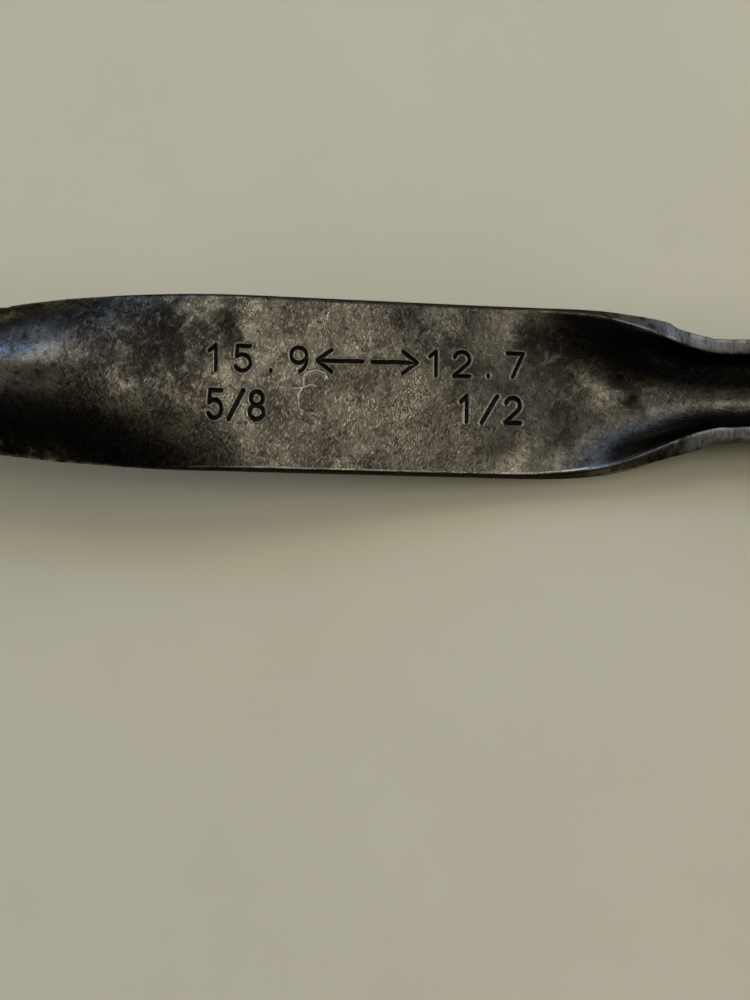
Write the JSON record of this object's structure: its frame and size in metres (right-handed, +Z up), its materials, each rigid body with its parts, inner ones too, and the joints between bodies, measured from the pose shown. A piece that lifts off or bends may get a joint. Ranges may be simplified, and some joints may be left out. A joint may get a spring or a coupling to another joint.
{
  "type": "brick jointer",
  "caption": "Double-ended steel brick jointer: a flat grip between a narrow and a wide half-round runner that bow opposite ways.",
  "frame": {"origin": "on the floor plane, under the middle of the tool's box as it lies at rest", "axes": "+X along the tool to the tip of the narrow runner, +Y across the grip, +Z up; the grip's marked face looks up"},
  "size_m": [0.2916, 0.0224, 0.0251],
  "materials": {
    "worn_steel": "aged, uncoated steel with a dull grey-brown patina and fine scratches"
  },
  "bodies": {
    "root": {"brick_jointer": "worn_steel"}
  },
  "joints": []
}
